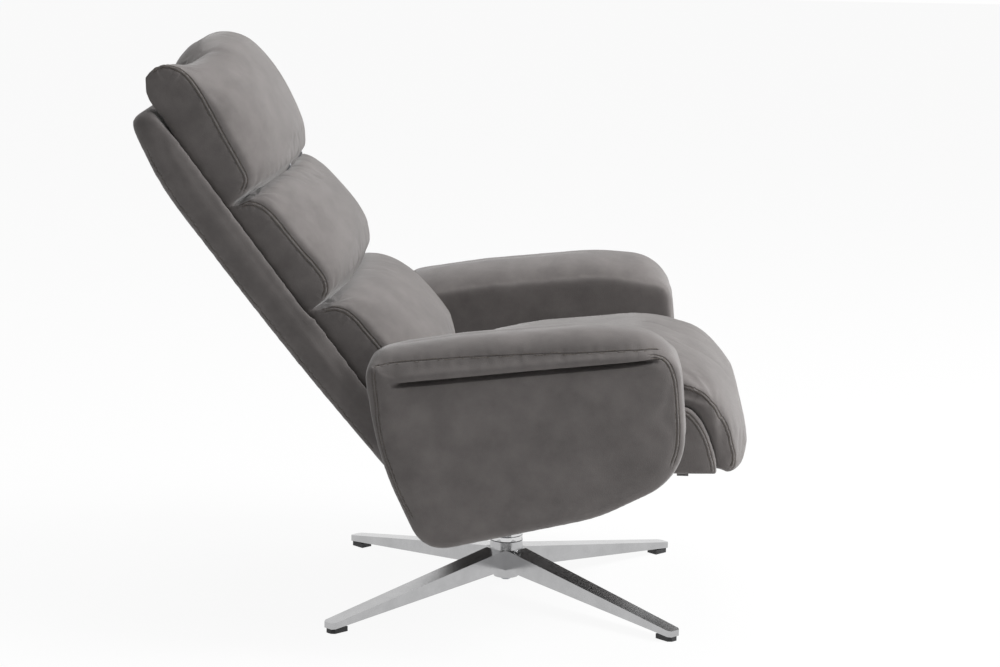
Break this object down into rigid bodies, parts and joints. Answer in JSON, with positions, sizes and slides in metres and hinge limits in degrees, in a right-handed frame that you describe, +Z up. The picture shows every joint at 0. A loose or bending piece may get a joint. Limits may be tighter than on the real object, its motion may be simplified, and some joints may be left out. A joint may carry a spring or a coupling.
{
  "type": "swivel recliner chair",
  "caption": "Upholstered swivel recliner on a polished star base with glides, with a reclining back, tilting headrest and fold-up leg rest.",
  "frame": {"origin": "on the floor under the glides, on the swivel axis", "axes": "+X is the way the sitter faces, +Y is the sitter's left and +Z is up"},
  "size_m": [0.983, 0.836, 0.9382],
  "materials": {
    "cast_aluminium": "polished",
    "black_plastic": "matte",
    "bright_steel": "bright plated",
    "zinc_steel": "zinc plated",
    "black_steel": "black powder coat",
    "upholstery": "soft napped cloth over foam",
    "upholstery_panels": "soft napped cloth over padded board",
    "webbing": "woven",
    "plywood": "plain birch ply"
  },
  "bodies": {
    "base": {"star_base": "cast_aluminium", "glides": "black_plastic", "pivot_post": "zinc_steel", "post_bolt": "zinc_steel", "thrust_washer": "black_plastic", "post_clip": "zinc_steel"},
    "carriage": {"column_tube": "bright_steel", "column_bushes": "black_plastic", "swivel_plate": "zinc_steel", "plate_bolts": "zinc_steel", "seat_rails": "black_steel", "box_side_left": "upholstery_panels", "box_side_right": "upholstery_panels", "box_front_rail": "plywood", "seat_straps": "webbing", "seat_cushion": "upholstery", "bight_foam": "upholstery", "underside_cover": "webbing", "arm_pad_left": "upholstery", "arm_pad_right": "upholstery", "arm_board_left": "plywood", "arm_board_right": "plywood", "arm_panel_left": "upholstery_panels", "arm_panel_right": "upholstery_panels", "arm_sleeves": "zinc_steel", "arm_bolts": "zinc_steel", "recline_brackets": "zinc_steel", "spring_bracket": "zinc_steel", "knee_brackets": "zinc_steel", "knee_fold": "upholstery"},
    "back": {"recline_shaft": "zinc_steel", "recline_plates": "zinc_steel", "back_frame": "black_steel", "back_straps": "webbing", "back_shell": "upholstery_panels", "lumbar_cushion": "upholstery", "middle_cushion": "upholstery", "headrest_brackets": "zinc_steel"},
    "headrest": {"headrest_board": "plywood", "headrest_cushion": "upholstery", "headrest_hinges": "zinc_steel", "headrest_pins": "zinc_steel"},
    "leg_rest": {"knee_rod": "bright_steel", "flap_arms": "zinc_steel", "flap_board": "plywood", "flap_pad": "upholstery"},
    "gas_cylinder": {"spring_cylinder": "black_steel"},
    "gas_rod": {"spring_rod": "bright_steel"}
  },
  "joints": [
    {"name": "swivel", "type": "hinge", "parent": "base", "child": "carriage", "pos_m": [0, 0, 0], "axis": [0, 0, 1], "continuous": true},
    {"name": "back_recline", "type": "hinge", "parent": "carriage", "child": "back", "pos_m": [-0.10499, 0, 0.34497], "axis": [0, 1, 0], "range_deg": [-12, 18]},
    {"name": "headrest_tilt", "type": "hinge", "parent": "back", "child": "headrest", "pos_m": [-0.36195, 0, 0.72418], "axis": [0, 1, 0], "range_deg": [0, 30]},
    {"name": "leg_rest", "type": "hinge", "parent": "carriage", "child": "leg_rest", "pos_m": [0.322, 0, 0.392], "axis": [0, -1, 0], "range_deg": [0, 80], "deforming": ["knee_fold"]},
    {"name": "spring_swing", "type": "hinge", "parent": "carriage", "child": "gas_cylinder", "pos_m": [0.196, 0, 0.28197], "axis": [0, 1, 0], "range_deg": [-0.5, 0.5]},
    {"name": "spring_stroke", "type": "slide", "parent": "gas_cylinder", "child": "gas_rod", "axis": [-1, 0, 0], "range_m": [-0.0145, 0.021]}
  ],
  "couplings": [
    {"joint": "spring_swing", "follows": "back_recline", "ratio": 0.0108},
    {"joint": "spring_stroke", "follows": "back_recline", "m_per_rad": 0.063}
  ]
}
